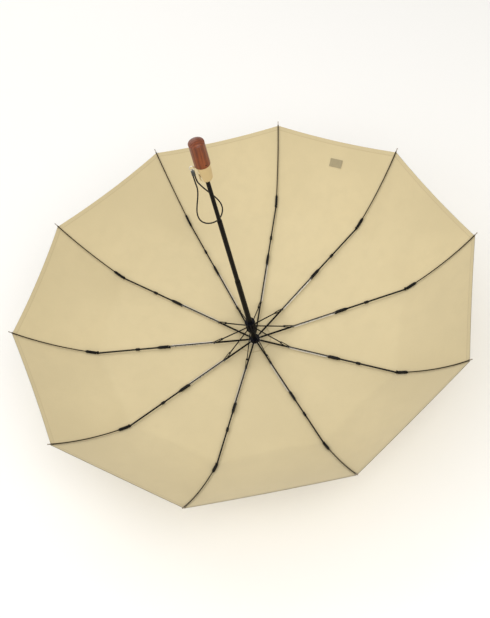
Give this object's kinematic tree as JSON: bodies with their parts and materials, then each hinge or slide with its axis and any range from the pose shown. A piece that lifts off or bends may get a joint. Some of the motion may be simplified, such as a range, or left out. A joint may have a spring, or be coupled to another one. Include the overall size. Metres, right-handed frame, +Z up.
{
  "type": "folding umbrella",
  "caption": "Open folding umbrella with a three-part telescoping shaft, sliding runner, three-fold ribs, cloth canopy, wooden grip and wrist loop.",
  "frame": {"origin": "tip of the ferrule, on the shaft's axis: the lowest point of the umbrella standing handle up", "axes": "+Z up the shaft from the ferrule to the wooden grip; +X outward along the first rib"},
  "size_m": [1.0398, 0.989, 0.6422],
  "materials": {
    "grip_wood": "varnished reddish brown hardwood",
    "pin_dark": "dark stained plug",
    "collar_plastic": "satin moulded plastic, dyed to match the cloth",
    "black_steel": "semi-gloss black lacquer",
    "black_plastic": "moulded black plastic",
    "rib_metal": "black coated steel channel",
    "rib_fibre": "dark resin rod with metal tip",
    "bright_steel": "plain wire",
    "ring_chrome": "bright split ring",
    "clasp_metal": "dark crimped metal",
    "canopy_cloth": "tight plain weave, satin face",
    "patch_cloth": "double cloth",
    "label_cloth": "plain tag",
    "cord_black": "round braid"
  },
  "bodies": {
    "handle": {"handle_grip": "grip_wood", "grip_pin": "pin_dark", "handle_collar": "collar_plastic", "lower_tube": "black_steel", "button_spring": "bright_steel"},
    "release_button": {"release_button": "collar_plastic"},
    "wrist_loop": {"cord_ring": "ring_chrome", "cord_clasp": "clasp_metal", "wrist_cord": "cord_black"},
    "middle_tube": {"middle_tube": "black_steel"},
    "canopy_head": {"upper_tube": "black_steel", "top_notch": "black_plastic", "notch_ring_wire": "bright_steel", "ferrule_cap": "black_plastic", "crown_patch": "patch_cloth", "canopy": "canopy_cloth", "care_label": "label_cloth", "shaft_spring": "bright_steel"},
    "runner": {"runner": "black_plastic", "runner_ring_wire": "bright_steel"},
    "top_rib_01": {"top_rib_01": "rib_metal"},
    "stretcher_01": {"stretcher_01": "rib_metal"},
    "middle_rib_01": {"middle_rib_01": "rib_metal"},
    "outer_rib_01": {"outer_rib_01": "rib_fibre"},
    "top_rib_02": {"top_rib_02": "rib_metal"},
    "stretcher_02": {"stretcher_02": "rib_metal"},
    "middle_rib_02": {"middle_rib_02": "rib_metal"},
    "outer_rib_02": {"outer_rib_02": "rib_fibre"},
    "top_rib_03": {"top_rib_03": "rib_metal"},
    "stretcher_03": {"stretcher_03": "rib_metal"},
    "middle_rib_03": {"middle_rib_03": "rib_metal"},
    "outer_rib_03": {"outer_rib_03": "rib_fibre"},
    "top_rib_04": {"top_rib_04": "rib_metal"},
    "stretcher_04": {"stretcher_04": "rib_metal"},
    "middle_rib_04": {"middle_rib_04": "rib_metal"},
    "outer_rib_04": {"outer_rib_04": "rib_fibre"},
    "top_rib_05": {"top_rib_05": "rib_metal"},
    "stretcher_05": {"stretcher_05": "rib_metal"},
    "middle_rib_05": {"middle_rib_05": "rib_metal"},
    "outer_rib_05": {"outer_rib_05": "rib_fibre"},
    "top_rib_06": {"top_rib_06": "rib_metal"},
    "stretcher_06": {"stretcher_06": "rib_metal"},
    "middle_rib_06": {"middle_rib_06": "rib_metal"},
    "outer_rib_06": {"outer_rib_06": "rib_fibre"},
    "top_rib_07": {"top_rib_07": "rib_metal"},
    "stretcher_07": {"stretcher_07": "rib_metal"},
    "middle_rib_07": {"middle_rib_07": "rib_metal"},
    "outer_rib_07": {"outer_rib_07": "rib_fibre"},
    "top_rib_08": {"top_rib_08": "rib_metal"},
    "stretcher_08": {"stretcher_08": "rib_metal"},
    "middle_rib_08": {"middle_rib_08": "rib_metal"},
    "outer_rib_08": {"outer_rib_08": "rib_fibre"},
    "top_rib_09": {"top_rib_09": "rib_metal"},
    "stretcher_09": {"stretcher_09": "rib_metal"},
    "middle_rib_09": {"middle_rib_09": "rib_metal"},
    "outer_rib_09": {"outer_rib_09": "rib_fibre"},
    "top_rib_10": {"top_rib_10": "rib_metal"},
    "stretcher_10": {"stretcher_10": "rib_metal"},
    "middle_rib_10": {"middle_rib_10": "rib_metal"},
    "outer_rib_10": {"outer_rib_10": "rib_fibre"}
  },
  "joints": [
    {"name": "middle_tube_slide", "type": "slide", "parent": "handle", "child": "middle_tube", "axis": [0, 0, 1], "range_m": [0, 0.111]},
    {"name": "shaft_telescope", "type": "slide", "parent": "middle_tube", "child": "canopy_head", "axis": [0, 0, 1], "range_m": [0, 0.188], "deforming": ["shaft_spring", "wrist_cord"]},
    {"name": "canopy_fold", "type": "hinge", "parent": "canopy_head", "child": "top_rib_01", "pos_m": [0.0095, 0, 0.022], "axis": [0, -1, 0], "range_deg": [0, 75.5], "deforming": ["canopy", "crown_patch", "care_label"]},
    {"name": "stretcher_hinge_01", "type": "hinge", "parent": "top_rib_01", "child": "stretcher_01", "pos_m": [0.09165, 0, 0.0396], "axis": [0, -1, 0], "range_deg": [-142.65, 0]},
    {"name": "middle_rib_hinge_01", "type": "hinge", "parent": "top_rib_01", "child": "middle_rib_01", "pos_m": [0.19794, 0, 0.05618], "axis": [0, -1, 0], "range_deg": [-180, 0]},
    {"name": "outer_rib_hinge_01", "type": "hinge", "parent": "middle_rib_01", "child": "outer_rib_01", "pos_m": [0.36092, 0, 0.09296], "axis": [0, -1, 0], "range_deg": [0, 150.5]},
    {"name": "top_rib_hinge_02", "type": "hinge", "parent": "canopy_head", "child": "top_rib_02", "pos_m": [0.00769, -0.00558, 0.022], "axis": [-0.5878, -0.809, 0], "range_deg": [0, 75.5]},
    {"name": "stretcher_hinge_02", "type": "hinge", "parent": "top_rib_02", "child": "stretcher_02", "pos_m": [0.07415, -0.05387, 0.0396], "axis": [-0.5878, -0.809, 0], "range_deg": [-142.65, 0]},
    {"name": "middle_rib_hinge_02", "type": "hinge", "parent": "top_rib_02", "child": "middle_rib_02", "pos_m": [0.16014, -0.11635, 0.05618], "axis": [-0.5878, -0.809, 0], "range_deg": [-180, 0]},
    {"name": "outer_rib_hinge_02", "type": "hinge", "parent": "middle_rib_02", "child": "outer_rib_02", "pos_m": [0.29199, -0.21214, 0.09296], "axis": [-0.5878, -0.809, 0], "range_deg": [0, 150.5]},
    {"name": "top_rib_hinge_03", "type": "hinge", "parent": "canopy_head", "child": "top_rib_03", "pos_m": [0.00294, -0.00903, 0.022], "axis": [-0.9511, -0.309, 0], "range_deg": [0, 75.5]},
    {"name": "stretcher_hinge_03", "type": "hinge", "parent": "top_rib_03", "child": "stretcher_03", "pos_m": [0.02832, -0.08717, 0.0396], "axis": [-0.9511, -0.309, 0], "range_deg": [-142.65, 0]},
    {"name": "middle_rib_hinge_03", "type": "hinge", "parent": "top_rib_03", "child": "middle_rib_03", "pos_m": [0.06117, -0.18825, 0.05618], "axis": [-0.9511, -0.309, 0], "range_deg": [-180, 0]},
    {"name": "outer_rib_hinge_03", "type": "hinge", "parent": "middle_rib_03", "child": "outer_rib_03", "pos_m": [0.11153, -0.34325, 0.09296], "axis": [-0.9511, -0.309, 0], "range_deg": [0, 150.5]},
    {"name": "top_rib_hinge_04", "type": "hinge", "parent": "canopy_head", "child": "top_rib_04", "pos_m": [-0.00294, -0.00903, 0.022], "axis": [-0.9511, 0.309, 0], "range_deg": [0, 75.5]},
    {"name": "stretcher_hinge_04", "type": "hinge", "parent": "top_rib_04", "child": "stretcher_04", "pos_m": [-0.02832, -0.08717, 0.0396], "axis": [-0.9511, 0.309, 0], "range_deg": [-142.65, 0]},
    {"name": "middle_rib_hinge_04", "type": "hinge", "parent": "top_rib_04", "child": "middle_rib_04", "pos_m": [-0.06117, -0.18825, 0.05618], "axis": [-0.9511, 0.309, 0], "range_deg": [-180, 0]},
    {"name": "outer_rib_hinge_04", "type": "hinge", "parent": "middle_rib_04", "child": "outer_rib_04", "pos_m": [-0.11153, -0.34325, 0.09296], "axis": [-0.9511, 0.309, 0], "range_deg": [0, 150.5]},
    {"name": "top_rib_hinge_05", "type": "hinge", "parent": "canopy_head", "child": "top_rib_05", "pos_m": [-0.00769, -0.00558, 0.022], "axis": [-0.5878, 0.809, 0], "range_deg": [0, 75.5]},
    {"name": "stretcher_hinge_05", "type": "hinge", "parent": "top_rib_05", "child": "stretcher_05", "pos_m": [-0.07415, -0.05387, 0.0396], "axis": [-0.5878, 0.809, 0], "range_deg": [-142.65, 0]},
    {"name": "middle_rib_hinge_05", "type": "hinge", "parent": "top_rib_05", "child": "middle_rib_05", "pos_m": [-0.16014, -0.11635, 0.05618], "axis": [-0.5878, 0.809, 0], "range_deg": [-180, 0]},
    {"name": "outer_rib_hinge_05", "type": "hinge", "parent": "middle_rib_05", "child": "outer_rib_05", "pos_m": [-0.29199, -0.21214, 0.09296], "axis": [-0.5878, 0.809, 0], "range_deg": [0, 150.5]},
    {"name": "top_rib_hinge_06", "type": "hinge", "parent": "canopy_head", "child": "top_rib_06", "pos_m": [-0.0095, 0, 0.022], "axis": [0, 1, 0], "range_deg": [0, 75.5]},
    {"name": "stretcher_hinge_06", "type": "hinge", "parent": "top_rib_06", "child": "stretcher_06", "pos_m": [-0.09165, 0, 0.0396], "axis": [0, 1, 0], "range_deg": [-142.65, 0]},
    {"name": "middle_rib_hinge_06", "type": "hinge", "parent": "top_rib_06", "child": "middle_rib_06", "pos_m": [-0.19794, 0, 0.05618], "axis": [0, 1, 0], "range_deg": [-180, 0]},
    {"name": "outer_rib_hinge_06", "type": "hinge", "parent": "middle_rib_06", "child": "outer_rib_06", "pos_m": [-0.36092, 0, 0.09296], "axis": [0, 1, 0], "range_deg": [0, 150.5]},
    {"name": "top_rib_hinge_07", "type": "hinge", "parent": "canopy_head", "child": "top_rib_07", "pos_m": [-0.00769, 0.00558, 0.022], "axis": [0.5878, 0.809, 0], "range_deg": [0, 75.5]},
    {"name": "stretcher_hinge_07", "type": "hinge", "parent": "top_rib_07", "child": "stretcher_07", "pos_m": [-0.07415, 0.05387, 0.0396], "axis": [0.5878, 0.809, 0], "range_deg": [-142.65, 0]},
    {"name": "middle_rib_hinge_07", "type": "hinge", "parent": "top_rib_07", "child": "middle_rib_07", "pos_m": [-0.16014, 0.11635, 0.05618], "axis": [0.5878, 0.809, 0], "range_deg": [-180, 0]},
    {"name": "outer_rib_hinge_07", "type": "hinge", "parent": "middle_rib_07", "child": "outer_rib_07", "pos_m": [-0.29199, 0.21214, 0.09296], "axis": [0.5878, 0.809, 0], "range_deg": [0, 150.5]},
    {"name": "top_rib_hinge_08", "type": "hinge", "parent": "canopy_head", "child": "top_rib_08", "pos_m": [-0.00294, 0.00903, 0.022], "axis": [0.9511, 0.309, 0], "range_deg": [0, 75.5]},
    {"name": "stretcher_hinge_08", "type": "hinge", "parent": "top_rib_08", "child": "stretcher_08", "pos_m": [-0.02832, 0.08717, 0.0396], "axis": [0.9511, 0.309, 0], "range_deg": [-142.65, 0]},
    {"name": "middle_rib_hinge_08", "type": "hinge", "parent": "top_rib_08", "child": "middle_rib_08", "pos_m": [-0.06117, 0.18825, 0.05618], "axis": [0.9511, 0.309, 0], "range_deg": [-180, 0]},
    {"name": "outer_rib_hinge_08", "type": "hinge", "parent": "middle_rib_08", "child": "outer_rib_08", "pos_m": [-0.11153, 0.34325, 0.09296], "axis": [0.9511, 0.309, 0], "range_deg": [0, 150.5]},
    {"name": "top_rib_hinge_09", "type": "hinge", "parent": "canopy_head", "child": "top_rib_09", "pos_m": [0.00294, 0.00903, 0.022], "axis": [0.9511, -0.309, 0], "range_deg": [0, 75.5]},
    {"name": "stretcher_hinge_09", "type": "hinge", "parent": "top_rib_09", "child": "stretcher_09", "pos_m": [0.02832, 0.08717, 0.0396], "axis": [0.9511, -0.309, 0], "range_deg": [-142.65, 0]},
    {"name": "middle_rib_hinge_09", "type": "hinge", "parent": "top_rib_09", "child": "middle_rib_09", "pos_m": [0.06117, 0.18825, 0.05618], "axis": [0.9511, -0.309, 0], "range_deg": [-180, 0]},
    {"name": "outer_rib_hinge_09", "type": "hinge", "parent": "middle_rib_09", "child": "outer_rib_09", "pos_m": [0.11153, 0.34325, 0.09296], "axis": [0.9511, -0.309, 0], "range_deg": [0, 150.5]},
    {"name": "top_rib_hinge_10", "type": "hinge", "parent": "canopy_head", "child": "top_rib_10", "pos_m": [0.00769, 0.00558, 0.022], "axis": [0.5878, -0.809, 0], "range_deg": [0, 75.5]},
    {"name": "stretcher_hinge_10", "type": "hinge", "parent": "top_rib_10", "child": "stretcher_10", "pos_m": [0.07415, 0.05387, 0.0396], "axis": [0.5878, -0.809, 0], "range_deg": [-142.65, 0]},
    {"name": "middle_rib_hinge_10", "type": "hinge", "parent": "top_rib_10", "child": "middle_rib_10", "pos_m": [0.16014, 0.11635, 0.05618], "axis": [0.5878, -0.809, 0], "range_deg": [-180, 0]},
    {"name": "outer_rib_hinge_10", "type": "hinge", "parent": "middle_rib_10", "child": "outer_rib_10", "pos_m": [0.29199, 0.21214, 0.09296], "axis": [0.5878, -0.809, 0], "range_deg": [0, 150.5]},
    {"name": "runner_slide", "type": "slide", "parent": "canopy_head", "child": "runner", "axis": [0, 0, 1], "range_m": [0, 0.1232]},
    {"name": "button_press", "type": "slide", "parent": "handle", "child": "release_button", "axis": [0.5446, -0.8387, 0], "range_m": [0, 0.0013], "stiffness_N_per_m": 1500, "springref_m": -0.001, "deforming": ["button_spring"]},
    {"name": "loop_swing", "type": "hinge", "parent": "handle", "child": "wrist_loop", "pos_m": [-0.00677, 0.01494, 0.5818], "axis": [0, 0, 1], "range_deg": [0, 60]}
  ],
  "couplings": [
    {"joint": "middle_tube_slide", "follows": "shaft_telescope", "ratio": 0.59042},
    {"joint": "stretcher_hinge_01", "follows": "canopy_fold", "ratio": -1.8894},
    {"joint": "middle_rib_hinge_01", "follows": "canopy_fold", "ratio": -2.3841},
    {"joint": "outer_rib_hinge_01", "follows": "canopy_fold", "ratio": 1.9934},
    {"joint": "top_rib_hinge_02", "follows": "canopy_fold", "ratio": 1},
    {"joint": "stretcher_hinge_02", "follows": "canopy_fold", "ratio": -1.8894},
    {"joint": "middle_rib_hinge_02", "follows": "canopy_fold", "ratio": -2.3841},
    {"joint": "outer_rib_hinge_02", "follows": "canopy_fold", "ratio": 1.9934},
    {"joint": "top_rib_hinge_03", "follows": "canopy_fold", "ratio": 1},
    {"joint": "stretcher_hinge_03", "follows": "canopy_fold", "ratio": -1.8894},
    {"joint": "middle_rib_hinge_03", "follows": "canopy_fold", "ratio": -2.3841},
    {"joint": "outer_rib_hinge_03", "follows": "canopy_fold", "ratio": 1.9934},
    {"joint": "top_rib_hinge_04", "follows": "canopy_fold", "ratio": 1},
    {"joint": "stretcher_hinge_04", "follows": "canopy_fold", "ratio": -1.8894},
    {"joint": "middle_rib_hinge_04", "follows": "canopy_fold", "ratio": -2.3841},
    {"joint": "outer_rib_hinge_04", "follows": "canopy_fold", "ratio": 1.9934},
    {"joint": "top_rib_hinge_05", "follows": "canopy_fold", "ratio": 1},
    {"joint": "stretcher_hinge_05", "follows": "canopy_fold", "ratio": -1.8894},
    {"joint": "middle_rib_hinge_05", "follows": "canopy_fold", "ratio": -2.3841},
    {"joint": "outer_rib_hinge_05", "follows": "canopy_fold", "ratio": 1.9934},
    {"joint": "top_rib_hinge_06", "follows": "canopy_fold", "ratio": 1},
    {"joint": "stretcher_hinge_06", "follows": "canopy_fold", "ratio": -1.8894},
    {"joint": "middle_rib_hinge_06", "follows": "canopy_fold", "ratio": -2.3841},
    {"joint": "outer_rib_hinge_06", "follows": "canopy_fold", "ratio": 1.9934},
    {"joint": "top_rib_hinge_07", "follows": "canopy_fold", "ratio": 1},
    {"joint": "stretcher_hinge_07", "follows": "canopy_fold", "ratio": -1.8894},
    {"joint": "middle_rib_hinge_07", "follows": "canopy_fold", "ratio": -2.3841},
    {"joint": "outer_rib_hinge_07", "follows": "canopy_fold", "ratio": 1.9934},
    {"joint": "top_rib_hinge_08", "follows": "canopy_fold", "ratio": 1},
    {"joint": "stretcher_hinge_08", "follows": "canopy_fold", "ratio": -1.8894},
    {"joint": "middle_rib_hinge_08", "follows": "canopy_fold", "ratio": -2.3841},
    {"joint": "outer_rib_hinge_08", "follows": "canopy_fold", "ratio": 1.9934},
    {"joint": "top_rib_hinge_09", "follows": "canopy_fold", "ratio": 1},
    {"joint": "stretcher_hinge_09", "follows": "canopy_fold", "ratio": -1.8894},
    {"joint": "middle_rib_hinge_09", "follows": "canopy_fold", "ratio": -2.3841},
    {"joint": "outer_rib_hinge_09", "follows": "canopy_fold", "ratio": 1.9934},
    {"joint": "top_rib_hinge_10", "follows": "canopy_fold", "ratio": 1},
    {"joint": "stretcher_hinge_10", "follows": "canopy_fold", "ratio": -1.8894},
    {"joint": "middle_rib_hinge_10", "follows": "canopy_fold", "ratio": -2.3841},
    {"joint": "outer_rib_hinge_10", "follows": "canopy_fold", "ratio": 1.9934},
    {"joint": "runner_slide", "follows": "canopy_fold", "m_per_rad": 0.093494}
  ]
}
